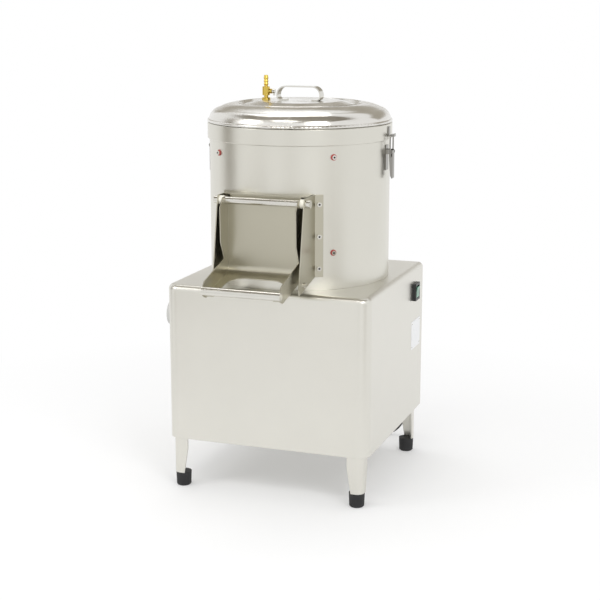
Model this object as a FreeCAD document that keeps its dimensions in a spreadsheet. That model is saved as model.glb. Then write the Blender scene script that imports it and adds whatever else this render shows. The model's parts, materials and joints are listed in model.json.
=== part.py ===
import FreeCAD, Part
import math
import os
import Sketcher

V = FreeCAD.Vector

# Driving sizes in millimetres, angles in degrees. The machine's plan centre is X = 0, Y = 0.
SIZES = {
    "cabinet_width": 440.0,
    "cabinet_depth": 415.0,
    "cabinet_floor": 108.0,
    "cabinet_top": 438.0,
    "sheet": 2.0,
    "front_corner": 25.0,
    "top_fold": 11.0,
    "seat_gap": 0.3,
    "leg_flange_top": 34.0,
    "leg_flange_foot": 25.0,
    "leg_sheet": 3.0,
    "leg_inset": 10.0,
    "leg_bend": 15.0,
    "leg_lap": 50.0,
    "foot_height": 30.0,
    "foot_radius": 16.5,
    "drum_back": 6.0,
    "drum_radius": 190.0,
    "drum_top": 762.7,
    "collar_height": 33.0,
    "collar_sheet": 4.2,
    "liner_sheet": 7.0,
    "liner_low": 480.0,
    "liner_high": 722.0,
    "pan_inset": 20.0,
    "pan_floor": 393.0,
    "screw_azimuth": 40.4,
    "screw_low": 514.3,
    "screw_high": 706.8,
    "screw_head": 4.6,
    "shaft_radius": 15.0,
    "shaft_foot": 316.0,
    "bearing_radius": 26.0,
    "housing_low": 350.0,
    "running_gap": 0.05,
    "disc_gap": 9.0,
    "disc_low": 464.0,
    "disc_sheet": 12.0,
    "pulley_low": 320.0,
    "pulley_height": 22.0,
    "big_pulley": 80.0,
    "small_pulley": 30.0,
    "belt_thick": 6.0,
    "motor_x": 95.0,
    "motor_y": 95.0,
    "motor_radius": 62.0,
    "motor_low": 165.0,
    "motor_high": 290.0,
    "motor_shaft": 9.5,
    "drain_x": -118.0,
    "drain_y": -70.0,
    "drain_straight": 2.0,
    "drain_radius": 28.0,
    "drain_wall": 3.0,
    "drain_bend": 45.0,
    "drain_reach": 50.0,
    "rim_low": 763.0,
    "rim_over": 4.5,
    "bead_radius": 3.5,
    "dome_rise": 32.0,
    "crown_rise": 4.0,
    "ridge_inset": 61.0,
    "lid_sheet": 2.0,
    "lid_slope": 41.0,
    "handle_length": 98.0,
    "handle_height": 30.0,
    "handle_strap": 22.0,
    "handle_sheet": 2.5,
    "valve_x": -76.0,
    "valve_neck": 9.0,
    "valve_height": 18.0,
    "barb_height": 24.0,
    "valve_radius": 8.0,
    "latch_axis": 706.0,
    "latch_out": 11.0,
    "latch_crank": 10.0,
    "bail_length": 44.5,
    "bail_wire": 1.5,
    "bail_half": 11.0,
    "lever_length": 56.0,
    "opening_inset": 5.0,
    "opening_low": 488.0,
    "opening_high": 612.0,
    "spout_reach": 14.2,
    "door_gap": 1.8,
    "door_side_gap": 9.5,
    "door_sheet": 2.0,
    "hinge_out": 15.0,
    "hinge_z": 622.0,
    "hinge_radius": 5.0,
    "sleeve_radius": 7.0,
    "lip_corner": 474.0,
    "lip_slope": 13.0,
    "lip_bend": 16.0,
    "grip_out": 129.0,
    "grip_z": 459.0,
    "grip_radius": 8.5,
    "cutout_half": 62.0,
    "cutout_depth": 88.0,
    "cutout_corner": 34.0,
    "bracket_inset": 9.17,
    "bracket_azimuth": 31.2,
    "bracket_flange": 17.6,
    "bracket_bolt": 4.8,
    "bracket_low": 466.0,
    "bracket_high": 633.0,
    "catch_out": 15.0,
    "catch_z": 463.0,
    "switch_y": 139.0,
    "switch_z": 385.0,
    "switch_width": 32.0,
    "switch_height": 38.0,
    "switch_reach": 10.0,
    "plate_y": 153.0,
    "plate_z": 287.0,
    "plate_width": 70.0,
    "plate_height": 63.0,
    "gland_x": 185.0,
    "gland_z": 180.0,
    "gland_reach": 34.5,
    "cord_radius": 4.0,
    "panel_screw_head": 2.5,
}


class Size:
    """A size with its number and the expression that gives it in the document."""

    def __init__(self, value, text):
        self.value = value
        self.text = text

    def join(self, other, sign, swap=False):
        other = as_size(other)
        a, b = (other, self) if swap else (self, other)
        results = {"+": a.value + b.value, "-": a.value - b.value, "*": a.value * b.value}
        value = a.value / b.value if sign == "/" else results[sign]
        return Size(value, "(" + a.text + " " + sign + " " + b.text + ")")

    def __add__(self, other):
        return self.join(other, "+")

    def __radd__(self, other):
        return self.join(other, "+", True)

    def __sub__(self, other):
        return self.join(other, "-")

    def __rsub__(self, other):
        return self.join(other, "-", True)

    def __mul__(self, other):
        return self.join(other, "*")

    def __rmul__(self, other):
        return self.join(other, "*", True)

    def __truediv__(self, other):
        return self.join(other, "/")

    def __neg__(self):
        return Size(0.0, "0") - self


def as_size(number):
    if isinstance(number, Size):
        return number
    return Size(float(number), "(" + repr(float(number)) + ")")


def trig(name, angle):
    """Sine, cosine or tangent of an angle in degrees."""
    angle = as_size(angle)
    value = getattr(math, name)(math.radians(angle.value))
    return Size(value, name + "(" + angle.text + ")")


doc = FreeCAD.newDocument("potato_peeler")
sheet = doc.addObject("Spreadsheet::Sheet", "Sizes")
for row, (alias, number) in enumerate(SIZES.items(), 1):
    sheet.set("A%d" % row, alias)
    sheet.set("B%d" % row, str(number))
    sheet.setAlias("B%d" % row, alias)
doc.recompute()


class Sheet:
    """Every cell of the sheet as a Size, by its alias."""


S = Sheet()
for alias, number in SIZES.items():
    setattr(S, alias, Size(number, "Sizes." + alias))

# Sizes that follow the drum, so that what sits on it or in it keeps its clearance.
S.disc_radius = S.drum_radius - S.sheet - S.liner_sheet - S.disc_gap
S.pan_radius = S.drum_radius - S.pan_inset
S.rim_radius = S.drum_radius + S.rim_over
S.ridge_radius = S.drum_radius - S.ridge_inset
S.lid_flat = S.ridge_radius - S.lid_slope
S.latch_reach = S.drum_radius + S.latch_out
S.spout_front = S.drum_back - S.drum_radius - S.spout_reach
S.door_face = S.spout_front - S.door_gap
S.hinge_y = S.door_face - S.hinge_out
S.grip_y = S.door_face - S.grip_out
S.catch_y = S.hinge_y - S.catch_out
S.bracket_half = (S.drum_radius + S.seat_gap + 0.1 + S.sheet) * trig("sin",
    S.bracket_azimuth) - S.bracket_inset
S.door_half = S.bracket_half - S.door_side_gap
S.opening_half = S.door_half - S.opening_inset

# The row's origin is the middle of the machine's box on the floor, its cord left out.
REAR = S.cabinet_depth / 2
SHIFT_X = (S.drain_reach - S.switch_reach) / 2
SHIFT_Y = -(REAR + S.panel_screw_head + S.grip_y - S.grip_radius) / 2
NODES = []


def bind(thing, **sizes):
    for key, size in sizes.items():
        thing.setExpression(key.replace("_", "."), as_size(size).text)
    return thing


def place(thing, x=0, y=0, z=0):
    for key, size in (("x", x), ("y", y), ("z", z)):
        thing.setExpression("Placement.Base." + key, as_size(size).text)
    return thing


def node(thing, label, x=0, y=0, z=0):
    """Names a finished piece and moves it from the machine's frame to the row's frame."""
    thing.Label = label
    place(thing, x + SHIFT_X, y + SHIFT_Y, z)
    NODES.append(thing)
    return thing


def box(x0, x1, y0, y1, z0, z1):
    block = doc.addObject("Part::Box", "Block")
    bind(block, Length=x1 - as_size(x0), Width=y1 - as_size(y0), Height=z1 - as_size(z0))
    return place(block, x0, y0, z0)


TURNS = {"x": ((0, 1, 0), 90), "y": ((1, 0, 0), -90), "z": ((0, 0, 1), 0)}


def rod(radius, length, x=0, y=0, z=0, along="z", kind="Part::Cylinder"):
    piece = doc.addObject(kind, "Rod")
    if kind == "Part::Cylinder":
        bind(piece, Radius=radius, Height=length)
    else:
        bind(piece, Radius1=radius[0], Radius2=radius[1], Height=length)
    direction, turn = TURNS[along]
    piece.Placement.Rotation = FreeCAD.Rotation(V(*direction), turn)
    return place(piece, x, y, z)


def fuse(*pieces):
    whole = doc.addObject("Part::MultiFuse", "Fused")
    whole.Shapes = list(pieces)
    return whole


def cut(base, *tools):
    result = doc.addObject("Part::Cut", "Cut")
    result.Base = base
    result.Tool = tools[0] if len(tools) == 1 else fuse(*tools)
    return result


def group(pieces):
    """Several separate solids that share one node."""
    together = doc.addObject("Part::Compound", "Group")
    together.Links = list(pieces)
    return together


def origin_part(body, role):
    return [part for part in body.Origin.OriginFeatures if part.Role == role][0]


def arc_middle(a, b, radius):
    """Middle of the short arc from a to b, to the left of the way for a positive radius."""
    half = (b - a) * 0.5
    sagitta = abs(radius) - math.sqrt(max(radius * radius - half.Length ** 2, 0.0))
    side = V(-half.y, half.x, 0).normalize() * math.copysign(sagitta, radius)
    return a + half + side


def profile(body, role, points, offset=0):
    """A closed outline, every corner tied to the sheet; a third value makes an arc to the next."""
    sketch = body.newObject("Sketcher::SketchObject", "Outline")
    sketch.AttachmentSupport = (origin_part(body, role), [""])
    sketch.MapMode = "FlatFace"
    sketch.setExpression("AttachmentOffset.Base.z", as_size(offset).text)
    places = [(as_size(p[0]), as_size(p[1])) for p in points]
    count = len(points)
    for i in range(count):
        a = V(places[i][0].value, places[i][1].value, 0)
        b = V(places[(i + 1) % count][0].value, places[(i + 1) % count][1].value, 0)
        if len(points[i]) == 3:
            radius = as_size(points[i][2])
            sketch.addGeometry(Part.Arc(a, arc_middle(a, b, radius.value), b), False)
        else:
            sketch.addGeometry(Part.LineSegment(a, b), False)
    corners = []
    for i in range(count):
        a = V(places[i][0].value, places[i][1].value, 0)
        first = 1 if sketch.getPoint(i, 1).distanceToPoint(a) < 1e-6 else 2
        corners.append((first, 3 - first))
    for i in range(count):
        after = (i + 1) % count
        sketch.addConstraint(Sketcher.Constraint("Coincident", i, corners[i][1], after, corners[after][0]))
        for kind, size in zip(("DistanceX", "DistanceY"), places[i]):
            tie = sketch.addConstraint(Sketcher.Constraint(kind, -1, 1, i, corners[i][0], size.value))
            sketch.setExpression("Constraints[%d]" % tie, size.text)
        if len(points[i]) == 3:
            radius = as_size(points[i][2])
            radius = radius if radius.value > 0 else -radius
            tie = sketch.addConstraint(Sketcher.Constraint("Radius", i, radius.value))
            sketch.setExpression("Constraints[%d]" % tie, radius.text)
    return sketch


def prism(role, points, low, high):
    """An outline pushed from low to high along the axis that its plane leaves free."""
    body = doc.addObject("PartDesign::Body", "Prism")
    offset = -as_size(high) if role == "XZ_Plane" else low
    sketch = profile(body, role, points, offset)
    pad = body.newObject("PartDesign::Pad", "Pad")
    pad.Profile = sketch
    bind(pad, Length=high - as_size(low))
    return body


def turned(points, angle=360):
    """An outline of (radius, height) points turned about Z."""
    body = doc.addObject("PartDesign::Body", "Turned")
    sketch = profile(body, "XZ_Plane", points)
    turn = body.newObject("PartDesign::Revolution", "Turn")
    turn.Profile = sketch
    turn.ReferenceAxis = (sketch, ["V_Axis"])
    turn.Angle = angle
    return body


def radial_rods(radius, inner, outer, azimuths, heights):
    """Rods pointing out of the drum, one at each azimuth from the front and each height."""
    rods = []
    for azimuth in azimuths:
        for height in heights:
            piece = doc.addObject("Part::Cylinder", "Radial")
            bind(piece, Radius=radius, Height=outer - as_size(inner))
            azimuth = as_size(azimuth)
            bearing = math.radians(azimuth.value)
            piece.Placement.Rotation = FreeCAD.Rotation(V(0, 0, 1), V(math.sin(bearing),
                -math.cos(bearing), 0))
            place(piece, inner * trig("sin", azimuth), S.drum_back - inner * trig("cos", azimuth), height)
            rods.append(piece)
    return rods


def slab(half, low, high, inset, corner, fold):
    """The cabinet's block: rounded front uprights, folded top edges, square at the rear."""
    side = half - inset
    front = -REAR + inset
    body = prism("XY_Plane", [
        (-side, REAR), (-side, front + corner, -corner), (-side + corner, front),
        (side - corner, front, -corner), (side, front + corner), (side, REAR)], low, high)
    doc.recompute()
    pad = body.Tip
    edges = []
    for i, edge in enumerate(pad.Shape.Edges, 1):
        on_top = all(abs(v.Z - as_size(high).value) < 1e-4 for v in edge.Vertexes)
        at_rear = all(abs(v.Y - REAR.value) < 1e-4 for v in edge.Vertexes)
        if on_top and not at_rear:
            edges.append("Edge%d" % i)
    rounding = body.newObject("PartDesign::Fillet", "TopFold")
    rounding.Base = (pad, edges)
    bind(rounding, Radius=fold)
    return body


HALF_WIDTH = S.cabinet_width / 2
DRAIN_HEIGHT = S.pan_floor - S.drain_bend - S.drain_straight
DRUM_INNER = S.drum_radius - S.sheet
LINER_AZIMUTHS = [S.screw_azimuth, -S.screw_azimuth, 180 - S.screw_azimuth, S.screw_azimuth - 180]


def make_cabinet():
    outer = slab(HALF_WIDTH, S.cabinet_floor, S.cabinet_top, as_size(0), S.front_corner, S.top_fold)
    inner = slab(HALF_WIDTH, S.cabinet_floor - S.sheet, S.cabinet_top - S.sheet, S.sheet,
                 S.front_corner - S.sheet, S.top_fold - S.sheet)
    drum_hole = rod(S.pan_radius + S.seat_gap, S.sheet * 3, 0, S.drum_back, S.cabinet_top - S.sheet * 2)
    drain_hole = rod(S.drain_radius + S.seat_gap, S.sheet * 3, -HALF_WIDTH - S.sheet, S.drain_y,
                     DRAIN_HEIGHT, "x")
    switch_hole = switch_block(S.seat_gap + S.switch_width / 2 - 2, S.switch_height / 2 - 2 + S.seat_gap,
                               HALF_WIDTH - S.sheet * 2, HALF_WIDTH + S.sheet)
    node(cut(outer, inner, drum_hole, drain_hole, switch_hole), "cabinet_shell")
    wide = HALF_WIDTH - S.sheet
    top = S.cabinet_top - S.sheet
    fold = S.top_fold - S.sheet
    panel = prism("XZ_Plane", [
        (-wide, S.cabinet_floor), (wide, S.cabinet_floor), (wide, top - fold, -fold), (wide - fold, top),
        (-wide + fold, top, -fold), (-wide, top - fold)], REAR - S.sheet, REAR)
    gland_hole = rod(S.cord_radius + 4, S.sheet * 3, S.gland_x, REAR - S.sheet * 2, S.gland_z, "y")
    node(cut(panel, gland_hole), "rear_panel")
    margin = 16
    side = HALF_WIDTH - margin
    heights = [S.cabinet_floor + margin, (S.cabinet_floor + S.cabinet_top) / 2, S.cabinet_top - margin]
    heads = [rod(5, S.panel_screw_head, x, REAR, z, "y") for x in (-side, side) for z in heights]
    node(group(heads), "panel_screws")
    base_side = HALF_WIDTH - S.sheet
    corner = S.front_corner - S.sheet
    front = -REAR + S.sheet
    node(prism("XY_Plane", [
        (-base_side, REAR - S.sheet), (-base_side, front + corner, -corner), (-base_side + corner, front),
        (base_side - corner, front, -corner), (base_side, front + corner), (base_side, REAR - S.sheet)],
        S.cabinet_floor + S.leg_lap, S.cabinet_floor + S.leg_lap + S.sheet), "base_plate")


LEG_X = HALF_WIDTH - S.leg_inset
LEG_Y = REAR - S.sheet - S.seat_gap


def make_leg(label, sx, sy):
    """An angle of folded sheet whose two flanges narrow towards the foot."""
    high = S.cabinet_floor + S.leg_lap - S.seat_gap
    narrow = S.cabinet_floor - 22
    low = S.foot_height
    wide = S.leg_flange_top
    slim = S.leg_flange_foot
    outer = S.leg_bend
    inner = outer - S.leg_sheet
    thin = S.leg_sheet
    x, y = LEG_X, LEG_Y
    way = -1 if sx * sy > 0 else 1
    plan = [(sx * x, sy * (y - wide)), (sx * x, sy * (y - outer), way * outer), (sx * (x - outer), sy * y),
            (sx * (x - wide), sy * y), (sx * (x - wide), sy * (y - thin)),
            (sx * (x - outer), sy * (y - thin), -way * inner), (sx * (x - thin), sy * (y - outer)),
            (sx * (x - thin), sy * (y - wide))]
    angle = prism("XY_Plane", plan, low, high)
    wedges = []
    for role, out, sign in (("XZ_Plane", x, sx), ("YZ_Plane", y, sy)):
        wedges.append(prism(role, [
            (sign * (out - wide - 5), low - 1), (sign * (out - slim), low - 1), (sign * (out - slim), low),
            (sign * (out - wide), narrow), (sign * (out - wide - 5), narrow)], -HALF_WIDTH, HALF_WIDTH))
    node(cut(angle, *wedges), label)


def make_feet():
    feet = []
    corner = 2.5
    top = S.foot_height
    for sx in (-1, 1):
        for sy in (-1, 1):
            foot = turned([(0, 0), (S.foot_radius - corner - 1, 0), (S.foot_radius - 1, corner),
                           (S.foot_radius, top), (0, top)])
            feet.append(place(foot, sx * (LEG_X - S.foot_radius), sy * (LEG_Y - S.foot_radius), 0))
    node(group(feet), "rubber_feet")


def front_opening(reach_in):
    return box(-S.opening_half, S.opening_half, -S.drum_radius - 20, reach_in, S.opening_low,
               S.opening_high)


def make_drum():
    tube = turned([(DRUM_INNER, S.cabinet_top), (S.drum_radius, S.cabinet_top),
                   (S.drum_radius, S.drum_top), (DRUM_INNER, S.drum_top)])
    place(tube, 0, S.drum_back, 0)
    holes = radial_rods(3.1, DRUM_INNER - 12, S.drum_radius + 2, LINER_AZIMUTHS,
                        [S.screw_low, S.screw_high])
    node(cut(tube, front_opening(-100), *holes), "drum_shell")
    inner = S.drum_radius + S.seat_gap
    outer = S.drum_radius + S.collar_sheet
    low = S.drum_top - S.collar_height
    node(turned([(inner, low), (outer - 1, low), (outer, low + 1), (outer, S.drum_top - 1),
                 (outer - 1, S.drum_top), (inner, S.drum_top)]), "drum_collar", 0, S.drum_back, 0)
    liner_out = DRUM_INNER - S.seat_gap
    liner_in = liner_out - S.liner_sheet
    liner = turned([(liner_in, S.liner_low), (liner_out, S.liner_low), (liner_out, S.liner_high),
                    (liner_in, S.liner_high)])
    place(liner, 0, S.drum_back, 0)
    liner_holes = radial_rods(3.1, DRUM_INNER - 12, S.drum_radius + 2, LINER_AZIMUTHS,
                              [S.screw_low, S.screw_high])
    node(cut(liner, front_opening(-90), *liner_holes), "abrasive_liner")
    seat = S.drum_radius + S.seat_gap
    face = seat + 1.5
    washers = []
    for disc, bore in zip(radial_rods(S.screw_head + 1.6, seat, face, LINER_AZIMUTHS,
                                      [S.screw_low, S.screw_high]),
                          radial_rods(3.1, seat - 1, face + 1, LINER_AZIMUTHS,
                                      [S.screw_low, S.screw_high])):
        washers.append(cut(disc, bore))
    node(group(washers), "liner_washers")
    heads = radial_rods(S.screw_head, face, face + 3, LINER_AZIMUTHS, [S.screw_low, S.screw_high])
    shanks = radial_rods(3, liner_in, face, LINER_AZIMUTHS, [S.screw_low, S.screw_high])
    node(group([fuse(a, b) for a, b in zip(heads, shanks)]), "liner_screws")


def make_pan():
    bore = S.shaft_radius + 2
    flange = DRUM_INNER - S.seat_gap
    top = S.cabinet_top
    pan = turned([(bore, S.pan_floor), (S.pan_radius, S.pan_floor), (S.pan_radius, top), (flange, top),
                  (flange, top + S.sheet), (S.pan_radius - S.sheet, top + S.sheet),
                  (S.pan_radius - S.sheet, S.pan_floor + S.sheet), (bore, S.pan_floor + S.sheet)])
    place(pan, 0, S.drum_back, 0)
    hole = rod(S.drain_radius - S.drain_wall, S.sheet * 3, S.drain_x, S.drain_y, S.pan_floor - S.sheet)
    node(cut(pan, hole), "base_pan")
    outer = S.bearing_radius + 6
    node(turned([(S.bearing_radius, S.housing_low), (outer, S.housing_low), (outer, S.pan_floor - 6),
                 (outer + 20, S.pan_floor - 6), (outer + 20, S.pan_floor), (S.bearing_radius,
                 S.pan_floor)]),
         "bearing_housing", 0, S.drum_back, 0)
    ring_in = S.shaft_radius + S.running_gap
    rings = []
    for low in (S.housing_low, S.pan_floor - 19):
        rings.append(cut(rod(S.bearing_radius, 13, 0, S.drum_back, low),
                         rod(ring_in, 15, 0, S.drum_back, low - 1)))
    node(group(rings), "shaft_bearings")
    node(cut(rod(S.bearing_radius, 6, 0, S.drum_back, S.pan_floor - 6),
             rod(ring_in, 8, 0, S.drum_back, S.pan_floor - 7)), "shaft_seal")


def drain_solid(radius, spare):
    """The drain's way: down from the pan, a quarter bend, then out through the left wall."""
    turn = S.drain_bend
    end = -HALF_WIDTH - S.drain_reach
    down = rod(radius, S.pan_floor - DRAIN_HEIGHT - turn + spare, S.drain_x, S.drain_y,
               DRAIN_HEIGHT + turn)
    bend = doc.addObject("Part::Torus", "Bend")
    bind(bend, Radius1=turn, Radius2=radius)
    bend.Angle3 = 90
    bend.Placement.Rotation = FreeCAD.Rotation(V(1, 0, 0), -90)
    place(bend, S.drain_x - turn, S.drain_y, DRAIN_HEIGHT + turn)
    out = rod(radius, S.drain_x - turn - end + spare, end - spare, S.drain_y, DRAIN_HEIGHT, "x")
    return fuse(down, bend, out)


def make_rotor():
    low = S.disc_low
    high = low + S.disc_sheet
    bore = S.shaft_radius
    plate = turned([(bore, low - 20), (bore + 18, low - 20), (bore + 18, low), (S.disc_radius - 3, low),
                    (S.disc_radius, low + 3), (S.disc_radius, high - 3), (S.disc_radius - 3, high),
                    (bore, high)])
    place(plate, 0, S.drum_back, 0)
    waves = []
    for i in range(3):
        wave = doc.addObject("Part::Cylinder", "Wave")
        bind(wave, Radius=14, Height=S.disc_radius - 44)
        turn = math.radians(120 * i + 90)
        wave.Placement.Rotation = FreeCAD.Rotation(V(0, 0, 1), V(math.cos(turn), math.sin(turn), 0))
        place(wave, 34 * math.cos(turn), S.drum_back + 34 * math.sin(turn), high - 5)
        waves.append(wave)
    under = [box(-S.disc_radius, S.disc_radius, -S.disc_radius, S.disc_radius * 1.5, low - 40, low)
             for _ in waves]
    node(fuse(plate, *[cut(wave, trim) for wave, trim in zip(waves, under)]), "peeling_disc")
    cap = high + 7
    node(turned([(0, S.shaft_foot), (bore, S.shaft_foot), (bore, high), (bore + 8, high), (bore + 4, cap),
                 (0, cap)]), "disc_shaft", 0, S.drum_back, 0)
    node(pulley(S.big_pulley, bore), "driven_pulley", 0, S.drum_back, 0)


def pulley(radius, bore):
    low = S.pulley_low
    high = low + S.pulley_height
    middle = (low + high) / 2
    groove = S.belt_thick + 4
    return turned([(bore, low), (radius, low), (radius, middle - groove / 2), (radius - 8, middle - 2),
                   (radius - 8, middle + 2), (radius, middle + groove / 2), (radius, high), (bore, high)])


def make_motor():
    x, y = S.motor_x, S.motor_y
    node(turned([(S.motor_shaft + S.running_gap, S.motor_low), (S.motor_radius - 4, S.motor_low),
                 (S.motor_radius, S.motor_low + 12), (S.motor_radius, S.motor_high - 14),
                 (S.motor_radius - 6, S.motor_high), (S.motor_shaft + S.running_gap, S.motor_high)]),
         "motor_body", x, y, 0)
    plate = box(x - 68, HALF_WIDTH - S.sheet, y - 68, y + 68, S.motor_high, S.motor_high + 4)
    node(cut(plate, rod(S.motor_shaft + 4, 12, x, y, S.motor_high - 4)), "motor_mount")
    node(rod(S.motor_shaft, S.pulley_low + S.pulley_height + 6 - S.motor_low), "motor_shaft", x, y,
         S.motor_low)
    node(pulley(S.small_pulley, S.motor_shaft), "motor_pulley", x, y, 0)


def make_belt():
    """The belt's loop: two arcs and the two lines that touch both, about a running gap off."""
    gap = 0.8
    ends = [(V(0, S.drum_back.value, 0), S.big_pulley.value - 8 + gap),
            (V(S.motor_x.value, S.motor_y.value, 0), S.small_pulley.value - 8 + gap)]
    way = ends[1][0] - ends[0][0]
    lean = math.acos((ends[0][1] - ends[1][1]) / way.Length)
    start = math.atan2(way.y, way.x)

    def loop(extra):
        def at(i, angle):
            return ends[i][0] + V(math.cos(angle), math.sin(angle), 0) * (ends[i][1] + extra)
        edges = [Part.Arc(at(0, start + lean), at(0, start + math.pi), at(0, start - lean)).toShape(),
                 Part.LineSegment(at(0, start - lean), at(1, start - lean)).toShape(),
                 Part.Arc(at(1, start - lean), at(1, start), at(1, start + lean)).toShape(),
                 Part.LineSegment(at(1, start + lean), at(0, start + lean)).toShape()]
        return Part.Face(Part.Wire(edges))
    low = S.pulley_low + S.pulley_height / 2 - 2
    band = loop(S.belt_thick.value).cut(loop(0)).extrude(V(0, 0, 4))
    belt = doc.addObject("Part::Feature", "Belt")
    belt.Shape = band
    node(belt, "drive_belt", 0, 0, low)


LID_TOP = S.rim_low + 2 * S.bead_radius + S.dome_rise
CROWN = LID_TOP + S.crown_rise


def make_lid():
    """The polished cover: rolled rim, round shoulder, ridge and a shallow flat middle."""
    bead = S.bead_radius
    rim = S.rim_radius
    low = S.rim_low
    high = low + bead * 2
    skin = S.lid_sheet
    shoulder = rim - 23
    sunk = CROWN
    ridge = S.ridge_radius
    dome = turned([
        (0, sunk - skin), (S.lid_flat, sunk - skin), (ridge - 7, LID_TOP - 5 - skin),
        (ridge - 1, LID_TOP - skin - 2),
        (shoulder - 1, high + 20.5 - skin, 24), (rim - 6, high - 2), (rim - 9, high - 2), (rim - 9, low),
        (rim - bead, low, -bead), (rim, low + bead, -bead), (rim - bead, high),
        (rim - 3.6, high + 1, -26), (shoulder, high + 22, -92),
        (ridge + 3, LID_TOP, -3), (ridge - 2, LID_TOP - 0.5), (ridge - 6, LID_TOP - 5), (S.lid_flat, sunk),
        (0, sunk)])
    place(dome, 0, S.drum_back, 0)
    hole = rod(5.3, 20, S.valve_x, S.drum_back, LID_TOP - 10)
    node(cut(dome, hole), "lid_dome")
    skirt = DRUM_INNER - 2.8
    node(turned([(skirt - 2, low - 16), (skirt, low - 16), (skirt, high - 2.3), (skirt - 2, high - 2.3)]),
         "lid_skirt", 0, S.drum_back, 0)
    node(turned([(skirt + 0.1, low - 7), (skirt + 2, low - 7), (skirt + 2.3, low - 0.4), (skirt + 0.1,
        low - 0.4)]),
         "lid_gasket", 0, S.drum_back, 0)


def make_handle():
    """A flat strap bent into a low bow, with its two feet turned in."""
    base = CROWN
    out = S.handle_length / 2
    thick = S.handle_sheet
    top = base + S.handle_height
    big = 19
    small = 9
    inner_big = big - thick
    inner_small = small - thick
    toe = out - 20
    points = [
        (toe, base), (out - small, base, -small), (out, base + small), (out, top - big, -big),
        (out - big, top),
        (-out + big, top, -big), (-out, top - big), (-out, base + small, -small), (-out + small, base),
        (-toe, base), (-toe, base + thick), (-out + small, base + thick, inner_small),
        (-out + thick, base + small), (-out + thick, top - big, inner_big), (-out + big, top - thick),
        (out - big, top - thick, inner_big), (out - thick, top - big), (out - thick, base + small,
        inner_small),
        (out - small, base + thick), (toe, base + thick)]
    half = S.handle_strap / 2
    node(prism("XZ_Plane", points, S.drum_back - half, S.drum_back + half), "lid_handle")


def make_valve():
    """The brass water valve on the lid, its hose barb, side tap and the spray nozzle below."""
    seat = CROWN
    low = seat + S.valve_neck
    high = low + S.valve_height
    branch_z = low + S.valve_height * 0.47
    tip = high + S.barb_height
    side = S.valve_radius
    body = turned([
        (0, seat - 16), (5, seat - 16), (5, seat), (9, seat), (9, seat + 4), (4.6, seat + 4.5), (4.6,
        low), (side, low),
        (side, high), (4, high + 0.5), (4, high + 3), (5.2, high + 5), (4, high + 9), (5.2, high + 11),
        (4, high + 15), (5.2, high + 17), (4, tip), (2.4, tip), (2.4, high), (0, high)])
    place(body, S.valve_x, S.drum_back, 0)
    branch = rod(5, 8, S.valve_x + side - 2, S.drum_back, branch_z, "x")
    socket = rod(3.05, 9, S.valve_x + side - 1, S.drum_back, branch_z, "x")
    node(cut(fuse(body, branch), socket), "water_valve")
    stem = rod(3, 9.7, S.valve_x + side - 0.7, S.drum_back, branch_z, "x")
    knob = rod(4.6, 6, S.valve_x + side + 6.4, S.drum_back, branch_z, "x")
    wing = box(S.valve_x + side + 8, S.valve_x + side + 12, S.drum_back - 2, S.drum_back + 2,
               branch_z - 9, branch_z)
    node(fuse(stem, knob, wing), "valve_tap")
    node(turned([(5.1, seat - 20), (9, seat - 20), (9, seat - 8), (5.1, seat - 8)]), "spray_nozzle",
         S.valve_x, S.drum_back, 0)


def latch_frame(body, side):
    """Puts a latch piece, drawn out along X from the drum's axis, on the right or the left."""
    if side < 0:
        body.Placement.Rotation = FreeCAD.Rotation(V(0, 0, 1), 180)
    return body


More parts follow.
